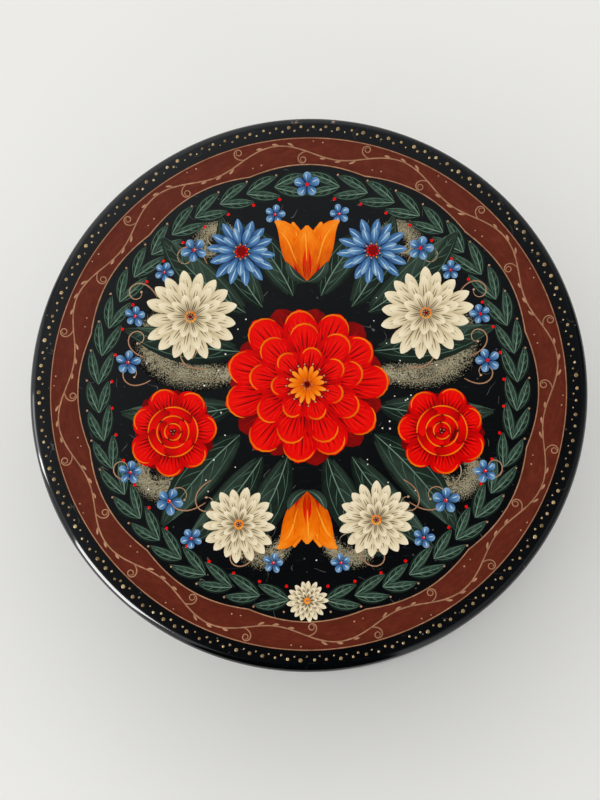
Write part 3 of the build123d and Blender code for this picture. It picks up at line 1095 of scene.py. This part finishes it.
class LacquerBoxSettings(bpy.types.PropertyGroup):
    """Sizes and colours of the box and its lid painting."""

    crown: bpy.props.FloatProperty(
        name="Crown", description="Rise of the lid from its edge to its middle",
        default=0.8 * MM, unit="LENGTH",
    )
    edge_round: bpy.props.FloatProperty(
        name="Edge round", description="Radius of the lid's rounded edge",
        default=1.2 * MM, unit="LENGTH",
    )
    wall_thickness: bpy.props.FloatProperty(
        name="Wall", description="Thickness of the case's wall",
        default=4.0 * MM, unit="LENGTH",
    )
    dot_pairs: bpy.props.IntProperty(
        name="Dot pairs", description="Large dots in the border",
        default=130, min=12,
    )
    dot_ring: bpy.props.FloatProperty(
        name="Dot ring", description="Radius of the ring of large dots",
        default=48.08 * MM, unit="LENGTH",
    )
    large_dot: bpy.props.FloatProperty(
        name="Large dot", description="Radius of a large dot",
        default=0.315 * MM, unit="LENGTH",
    )
    small_dot: bpy.props.FloatProperty(
        name="Small dot", description="Radius of a small dot",
        default=0.19 * MM, unit="LENGTH",
    )
    band_outer: bpy.props.FloatProperty(
        name="Band outside", description="Outer radius of the painted band",
        default=46.3 * MM, unit="LENGTH",
    )
    band_inner: bpy.props.FloatProperty(
        name="Band inside", description="Inner radius of the painted band",
        default=40.2 * MM, unit="LENGTH",
    )
    black: bpy.props.FloatVectorProperty(
        name="Black", description="Lacquer outside",
        default=srgb(5, 6, 8), subtype="COLOR",
    )
    cinnabar: bpy.props.FloatVectorProperty(
        name="Cinnabar", description="Lacquer inside",
        default=srgb(168, 22, 14), subtype="COLOR",
    )
    camera_elevation: bpy.props.FloatProperty(
        name="Elevation", description="Camera height above the table's plane",
        default=math.radians(82.6), subtype="ANGLE",
    )
    camera_azimuth: bpy.props.FloatProperty(
        name="Azimuth", description="Side of the box on which the camera stands",
        default=math.radians(290), subtype="ANGLE",
    )
    camera_distance: bpy.props.FloatProperty(
        name="Distance", description="Camera to the lid's middle",
        default=0.4, unit="LENGTH",
    )


class LACQUERBOX_OT_lacquer(bpy.types.Operator):
    """Lacquers the case, the lid and the lining"""

    bl_idname = "lacquerbox.lacquer"
    bl_label = "Lacquer"

    def execute(self, context):
        settings = context.scene.lacquer_box
        lacquer = lacquer_material(settings)
        dress(("wall", "base", "collar", "lid_rim", "lid_plate"), lacquer)
        top = turned_piece("lid_top", lid_outline(settings), LID_HIGH.z, LID_LOW.z, LID_SEGMENTS)
        top.data.materials.append(lacquer)
        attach(top, LID_BODY)
        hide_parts("lid_plate")
        return {"FINISHED"}


class LACQUERBOX_OT_hinge(bpy.types.Operator):
    """Finishes the hinge's leaves, pins and wire"""

    bl_idname = "lacquerbox.hinge"
    bl_label = "Hinge metal"

    def execute(self, context):
        brass = metal_material("hinge_brass_worn", srgb(196, 164, 96), srgb(104, 78, 44), lustre=0.24)
        wire = metal_material("hinge_wire_drawn", srgb(168, 166, 160), srgb(96, 90, 82), lustre=0.2)
        dress(("body_hinge_leaf", "lid_hinge_leaf", "body_leaf_pins", "lid_leaf_pins"), brass)
        dress(("hinge_pin",), wire)
        return {"FINISHED"}


class LACQUERBOX_OT_dot_border(bpy.types.Operator):
    """Sets the gold dots around the lid's edge"""

    bl_idname = "lacquerbox.dot_border"
    bl_label = "Dot border"

    def execute(self, context):
        settings = context.scene.lacquer_box
        values = {
            "Pairs": settings.dot_pairs,
            "Ring Radius": settings.dot_ring,
            "Inner Step": 0.57 * MM,
            "Large Radius": settings.large_dot,
            "Small Radius": settings.small_dot,
            "Unevenness": 0.34,
            "Drift": 0.8 * MM,
            "Shift": 0.15 * MM,
            "Rise": 0.09 * MM,
            "Crown Top": LID_HIGH.z,
            "Crown Radius": crown_radius(settings),
            "Seed": 4,
            "Material": paint_material("pale_gold"),
        }
        plain_piece("dot_border", bpy.data.meshes.new("dot_border_seat"), dot_border_tree(), values)
        return {"FINISHED"}


class LACQUERBOX_OT_scroll_band(bpy.types.Operator):
    """Paints the maroon band and its gold scrolls"""

    bl_idname = "lacquerbox.scroll_band"
    bl_label = "Scroll band"

    def execute(self, context):
        settings = context.scene.lacquer_box
        easel = Easel(11)
        outer = settings.band_outer / MM
        inner = settings.band_inner / MM
        middle = (inner + outer) / 2 + STEM_SHIFT
        angles = [step * 360 / BAND_STEPS for step in range(BAND_STEPS)]
        edges = [inner + self.lobe(angle) for angle in angles]
        centres = [polar(0, 0, (edge + outer) / 2, angle) for edge, angle in zip(edges, angles)]
        halves = [(outer - edge) / 2 for edge in edges]
        easel.chain("maroon", centres, halves, tones=[0.5] * BAND_STEPS, level=2, closed=True)
        inner_line = [polar(0, 0, edge + INNER_LINE_INSET, angle) for edge, angle in zip(edges, angles)]
        outer_line = [polar(0, 0, outer - OUTER_LINE_INSET, angle) for angle in angles]
        stem = [polar(0, 0, middle + self.wave(angle), angle) for angle in angles]
        easel.ring("gold", inner_line, width=0.2, tone=0.5, level=5)
        easel.ring("gold", outer_line, width=0.17, tone=0.45, level=5)
        easel.ring("gold", stem, width=0.24, tone=0.45, level=6)
        for number in range(2 * BAND_LOBES):
            self.coil(easel, number * 180 / BAND_LOBES, middle, 1 if number % 2 == 0 else -1)
        easel.finish("band", settings)
        return {"FINISHED"}

    def lobe(self, angle):
        """How far the band's inner edge stands out at an angle, in a row of shallow lobes."""
        return LOBE_DEPTH * abs(math.cos(math.radians(angle * BAND_LOBES / 2)))

    def wave(self, angle):
        """How far the stem sways out at an angle."""
        return STEM_SWAY * math.sin(math.radians(BAND_LOBES * angle))

    def heading(self, angle, middle):
        """Way that the stem runs at an angle."""
        slope = STEM_SWAY * BAND_LOBES * math.cos(math.radians(BAND_LOBES * angle)) / middle
        return angle + 90 - math.degrees(math.atan(slope))

    def coil(self, easel, angle, middle, side):
        """Branch that coils in a hollow of the stem's wave, with leaves on the stem and dots beside."""
        foot = polar(0, 0, middle, angle)
        easel.stroke("gold", *foot, self.heading(angle, middle) + side * 26, length=6.7, width=0.22,
                     bend=side * 90, curl=side * 450, belly=0.6, blunt=0.35, tones=(0.4, 0.6),
                     level=7, steps=30)
        for ahead, lean, length in ((3.0, 38, 1.5), (6.4, 30, 1.4), (10.2, 34, 1.3)):
            at = polar(0, 0, middle + self.wave(angle + ahead), angle + ahead)
            heading = self.heading(angle + ahead, middle) - side * lean
            easel.stroke("gold", *at, heading, length, width=0.42, bend=side * 36, belly=1.3,
                         tones=(0.35, 0.7), level=8, steps=6)
        for ahead, inset, size in ((11.4, 1.7, 0.36), (13.6, 1.9, 0.3)):
            easel.dot("gold", *polar(0, 0, middle - side * inset, angle + ahead), size, tone=0.7, level=8)


class LACQUERBOX_OT_mist(bpy.types.Operator):
    """Stipples a cloud of silver and gold dust behind the flowers"""

    bl_idname = "lacquerbox.mist"
    bl_label = "Dust cloud"

    def execute(self, context):
        easel = Easel(23)
        for side, x, y, heading, length, width, bend, curl in mirrored(WISPS):
            turn = facing(side, heading)
            easel.stroke("dust", side * x, y, turn, length, width, bend=side * bend, curl=side * curl,
                         belly=0.75, blunt=0.6, tones=(0.95, 0.75), level=1, steps=34)
            for shift, share, tone in ((0.14, 0.93, 0.4), (-0.2, 0.86, 0.55)):
                at = polar(side * x, y, width * shift, turn + 90)
                easel.stroke("pearl", *at, turn, length * share, width=0.2, bend=side * bend,
                             curl=side * curl, blunt=0.4, tones=(0.0, tone), level=3, steps=30)
        x, y, size = PEONY
        for _ in range(SPARKS):
            at = polar(x, y, size + abs(easel.draw.gauss(0, SPARK_SPREAD)), easel.draw.uniform(0, 360))
            if math.hypot(*at) < SPARK_REACH and not on_a_flower(*at):
                easel.dot("pearl", *at, easel.draw.uniform(0.24, 0.4), tone=1.0, level=12)
        easel.finish("cloud", context.scene.lacquer_box)
        return {"FINISHED"}


class LACQUERBOX_OT_wreath(bpy.types.Operator):
    """Paints the leaf wreath inside the band"""

    bl_idname = "lacquerbox.wreath"
    bl_label = "Wreath"

    def execute(self, context):
        easel = Easel(67)
        radius = context.scene.lacquer_box.band_inner / MM - WREATH_INSET
        length, width = WREATH_LEAF
        for side in (-1, 1):
            for number in range(WREATH_LEAVES):
                angle = -90 + side * (WREATH_START + number * WREATH_STEP)
                foot = polar(0, 0, radius, angle)
                for lean in (-1, 1):
                    heading = angle + side * 90 + lean * 26
                    leaf(easel, *foot, heading, easel.vary(length, 0.06), width,
                         bend=-lean * 16 + side * 8, level=2 + 4 * (number % 2), veins=4)
                outside = polar(0, 0, radius + GOLD_DOTS_OUT, angle + side)
                inside = polar(0, 0, radius - RED_DOTS_IN, angle + side)
                easel.dot("gold", *outside, size=0.46, tone=0.6, level=9)
                easel.dot("red", *inside, size=0.7, tone=0.6, level=9)
        chrysanthemum(easel, 0, -radius, size=3.6)
        forget_me_not(easel, 0, radius, size=2.4, turn=90)
        easel.finish("wreath", context.scene.lacquer_box)
        return {"FINISHED"}


class LACQUERBOX_OT_foliage(bpy.types.Operator):
    """Paints the leaves, stems and gold tendrils"""

    bl_idname = "lacquerbox.foliage"
    bl_label = "Foliage"

    def execute(self, context):
        easel = Easel(31)
        for number, (side, x, y, heading, length, width, bend) in enumerate(mirrored(LEAVES)):
            leaf(easel, side * x, y, facing(side, heading), easel.vary(length, 0.04), width, side * bend,
                 level=4 + 4 * (number // 2 % 2))
        for side, x, y, heading, length, curl, turn in mirrored(TENDRILS):
            tendril(easel, side * x, y, facing(side, heading), length, curl, side * turn, level=9)
        easel.finish("foliage", context.scene.lacquer_box)
        return {"FINISHED"}


class LACQUERBOX_OT_peony(bpy.types.Operator):
    """Paints the large flower in the middle"""

    bl_idname = "lacquerbox.peony"
    bl_label = "Middle flower"

    def execute(self, context):
        easel = Easel(41)
        peony(easel, *PEONY)
        easel.finish("peony", context.scene.lacquer_box)
        return {"FINISHED"}


class LACQUERBOX_OT_blossoms(bpy.types.Operator):
    """Paints the flowers around the large one"""

    bl_idname = "lacquerbox.blossoms"
    bl_label = "Side flowers"

    def execute(self, context):
        easel = Easel(53)
        for side, x, y, size in mirrored(CHRYSANTHEMUMS):
            at = (easel.vary(side * x, 0.02), easel.vary(y, 0.02))
            chrysanthemum(easel, *at, easel.vary(size, 0.03), 7 * side)
        for side, x, y, size in mirrored(ROSES):
            rose(easel, side * x, y, size, facing(side, 20))
        for side, x, y, size in mirrored(ASTERS):
            aster(easel, side * x, y, size, 5 * side)
        for x, y, size in TULIPS:
            tulip(easel, x, y, math.copysign(90, y), size)
        for side, x, y, size in mirrored(FORGET_ME_NOTS):
            forget_me_not(easel, side * x, y, size, 12 * side + 3 * x)
        easel.finish("blossoms", context.scene.lacquer_box)
        return {"FINISHED"}


# Stage

TABLE_REACH = 1.6

# The picture in pixels: its height, the lid's radius, and its middle seen from the lid's, right and up
PICTURE_HEIGHT = 800
LID_RADIUS_PIXELS = 279.35
PICTURE_MIDDLE_PIXELS = (-7.35, -9.2)
OUTLINE_DEPTH = 1.2 * MM    # the lid's outline lies this far below its top
SENSOR_HEIGHT = 36.0

# Light of the room on the table and in the lacquer's mirror, from overhead to well down the walls
OVERHEAD = (0.97, 0.6)
ROOM_LIGHT = (0.024, 0.715)
MIRRORED_LIGHT = (0.044, 0.082)
MIRRORED_TINT = (0.94, 0.98, 1.0)
SURROUND_LIGHT = 0.9

# High window that lights the table
WINDOW_AZIMUTH = 97
WINDOW_ELEVATION = 35
WINDOW_LIGHT = 1.1

# Bright panes seen only as reflections, as (name, azimuth, elevation, width and height, glow)
PANE_DISTANCE = 0.8
PANES = (
    ("wide_pane", 216.1, 33, (0.266, 0.66), 20.0),
    ("narrow_pane", 187.7, 27, (0.056, 0.46), 20.0),
    ("left_curtain", 180.4, 27, (0.19, 0.46), 4.5),
)

# Walls of the room that the lacquer mirrors, as (azimuth, where they start and end along it, brightness)
WALLS = (
    (112, 0.044, 0.25, 0.24), (181, 0.12, 0.24, 0.18), (98, 0.215, 0.515, 0.14), (205, 0.17, 0.35, 0.28),
    (205, 0.6, 0.85, -0.28), (233, 0.17, 0.4, 0.62), (233, 0.7, 0.95, -0.3), (294, 0.125, 0.375, 0.28),
    (350, 0.09, 0.26, 0.1), (350, 0.46, 0.76, -0.15),
)

# Wedges of that room, as (azimuth, narrowness, start, end, light that is added or share that is left)
BRIGHT_WEDGE = (118, 0.6, 0.23, 0.38, 0.34)
DARK_WEDGES = ((152, 5.7, 0.1, 0.6, 0.3), (264, 2.15, -0.03, 0.05, 0.0))


class LACQUERBOX_OT_stage(bpy.types.Operator):
    """Sets the table, the light and the camera"""

    bl_idname = "lacquerbox.stage"
    bl_label = "Stage"

    def execute(self, context):
        scene = context.scene
        scene.view_settings.view_transform = "Standard"
        self.table(scene)
        scene.world = bpy.data.worlds.new("room")
        scene.world.use_nodes = True
        self.room(scene.world.node_tree)
        for pane in PANES:
            self.pane(scene, *pane)
        self.camera(scene, scene.lacquer_box)
        return {"FINISHED"}

    def table(self, scene):
        """Pale table top, wide enough to fill the picture."""
        reach = TABLE_REACH
        corners = [(-reach, -reach, 0), (reach, -reach, 0), (reach, reach, 0), (-reach, reach, 0)]
        mesh = bpy.data.meshes.new("table")
        mesh.from_pydata(corners, [], [(0, 1, 2, 3)])
        table = bpy.data.objects.new("table", mesh)
        scene.collection.objects.link(table)
        material, wiring, shader = new_material("pale_table")
        grain = wiring.noise(wiring.place(), scale=14.0, detail=3.0)
        wiring.connect(shader, {
            "Base Color": wiring.mix(grain, srgb(214, 213, 208), srgb(222, 221, 217)),
            "Roughness": 0.6,
            "Emission Color": (1.0, 1.0, 0.98),
            "Emission Strength": 0.15,
        })
        mesh.materials.append(material)

    def pane(self, scene, name, azimuth, elevation, size, glow):
        """Bright window pane that shows only as a reflection."""
        data = bpy.data.lights.new(name, "AREA")
        data.shape = "RECTANGLE"
        data.size, data.size_y = size
        data.energy = glow * math.pi * size[0] * size[1]
        pane = bpy.data.objects.new(name, data)
        toward = bearing(azimuth, elevation)
        pane.location = Vector((0, 0, LID_HIGH.z)) + toward * PANE_DISTANCE
        pane.rotation_euler = toward.to_track_quat("Z", "Y").to_euler()
        pane.visible_diffuse = False
        scene.collection.objects.link(pane)

    def camera(self, scene, settings):
        """Camera that sees the lid as large as it is in the picture, and in the same place."""
        data = bpy.data.cameras.new("camera")
        camera = bpy.data.objects.new("camera", data)
        scene.collection.objects.link(camera)
        pixels_per_metre = LID_RADIUS_PIXELS / LID_HIGH.x
        data.sensor_fit = "VERTICAL"
        data.sensor_height = SENSOR_HEIGHT
        data.lens = pixels_per_metre * settings.camera_distance * SENSOR_HEIGHT / PICTURE_HEIGHT
        data.clip_start = 0.01
        across, up = (pixels / pixels_per_metre for pixels in PICTURE_MIDDLE_PIXELS)
        aim = Vector((across, up, LID_HIGH.z - OUTLINE_DEPTH))
        back = bearing(math.degrees(settings.camera_azimuth), math.degrees(settings.camera_elevation))
        right = Vector((0, 1, 0)).cross(back).normalized()
        camera.location = aim + settings.camera_distance * back
        camera.rotation_euler = Matrix((right, back.cross(right), back)).transposed().to_euler()
        scene.camera = camera

    def room(self, tree):
        """World of light on the table, a dimmer room in the lacquer's mirror, and a pale surround."""
        wiring = Wiring(tree)
        tree.nodes.clear()
        toward = wiring.add("ShaderNodeTexCoord").outputs["Generated"]
        height = wiring.split(toward)["Z"]

        def along(azimuth, elevation=0.0):
            """How far a ray runs towards a side of the room."""
            return wiring.vector("DOT_PRODUCT", toward, bearing(azimuth, elevation))

        def wedge(azimuth, narrowness):
            """How far a ray runs towards a side and stays in line with it."""
            beside = wiring.math("ABSOLUTE", along(azimuth + 90))
            return wiring.times_plus(beside, -narrowness, along(azimuth))

        def shine(strength, colour=(1.0, 1.0, 1.0)):
            return wiring.out("ShaderNodeBackground", {"Color": colour, "Strength": strength})

        window = wiring.between(along(WINDOW_AZIMUTH, WINDOW_ELEVATION), 0.0, 0.9)
        light = wiring.times_plus(window, WINDOW_LIGHT, wiring.between(height, *OVERHEAD, *ROOM_LIGHT))

        # The mirrored room: a ceiling, walls that brighten towards the window, and the dark viewer
        sheen = wiring.between(height, *OVERHEAD, *MIRRORED_LIGHT)
        for azimuth, low, high, strength in WALLS:
            sheen = wiring.times_plus(wiring.between(along(azimuth), low, high), strength, sheen)
        azimuth, narrowness, low, high, strength = BRIGHT_WEDGE
        sheen = wiring.times_plus(wiring.between(wedge(azimuth, narrowness), low, high), strength, sheen)
        for azimuth, narrowness, low, high, left in DARK_WEDGES:
            sheen = wiring.times(sheen, wiring.between(wedge(azimuth, narrowness), low, high, 1.0, left))

        rays = wiring.add("ShaderNodeLightPath").outputs
        mirror = {0: rays["Is Glossy Ray"], 1: shine(light), 2: shine(sheen, MIRRORED_TINT)}
        unseen = wiring.out("ShaderNodeMixShader", mirror)
        surround = {0: rays["Is Camera Ray"], 1: unseen, 2: shine(SURROUND_LIGHT)}
        wiring.add("ShaderNodeOutputWorld", {"Surface": wiring.out("ShaderNodeMixShader", surround)})


STEPS = (
    LACQUERBOX_OT_lacquer,
    LACQUERBOX_OT_hinge,
    LACQUERBOX_OT_dot_border,
    LACQUERBOX_OT_scroll_band,
    LACQUERBOX_OT_mist,
    LACQUERBOX_OT_wreath,
    LACQUERBOX_OT_foliage,
    LACQUERBOX_OT_peony,
    LACQUERBOX_OT_blossoms,
    LACQUERBOX_OT_stage,
)


class LACQUERBOX_PT_panel(bpy.types.Panel):
    """Lists the box's settings and steps"""

    bl_idname = "LACQUERBOX_PT_panel"
    bl_label = "Lacquer box"
    bl_space_type = "VIEW_3D"
    bl_region_type = "UI"
    bl_category = "Lacquer box"

    def draw(self, context):
        settings = context.scene.lacquer_box
        for name in LacquerBoxSettings.__annotations__:
            self.layout.prop(settings, name)
        for step in STEPS:
            self.layout.operator(step.bl_idname)


CLASSES = (LacquerBoxSettings, *STEPS, LACQUERBOX_PT_panel)


def register():
    for item in CLASSES:
        bpy.utils.register_class(item)
    bpy.types.Scene.lacquer_box = bpy.props.PointerProperty(type=LacquerBoxSettings)


def unregister():
    del bpy.types.Scene.lacquer_box
    for item in reversed(CLASSES):
        bpy.utils.unregister_class(item)


def main():
    register()
    bpy.ops.lacquerbox.lacquer()
    bpy.ops.lacquerbox.hinge()
    bpy.ops.lacquerbox.dot_border()
    bpy.ops.lacquerbox.scroll_band()
    bpy.ops.lacquerbox.mist()
    bpy.ops.lacquerbox.wreath()
    bpy.ops.lacquerbox.foliage()
    bpy.ops.lacquerbox.peony()
    bpy.ops.lacquerbox.blossoms()
    bpy.ops.lacquerbox.stage()


if __name__ == "__main__":
    main()
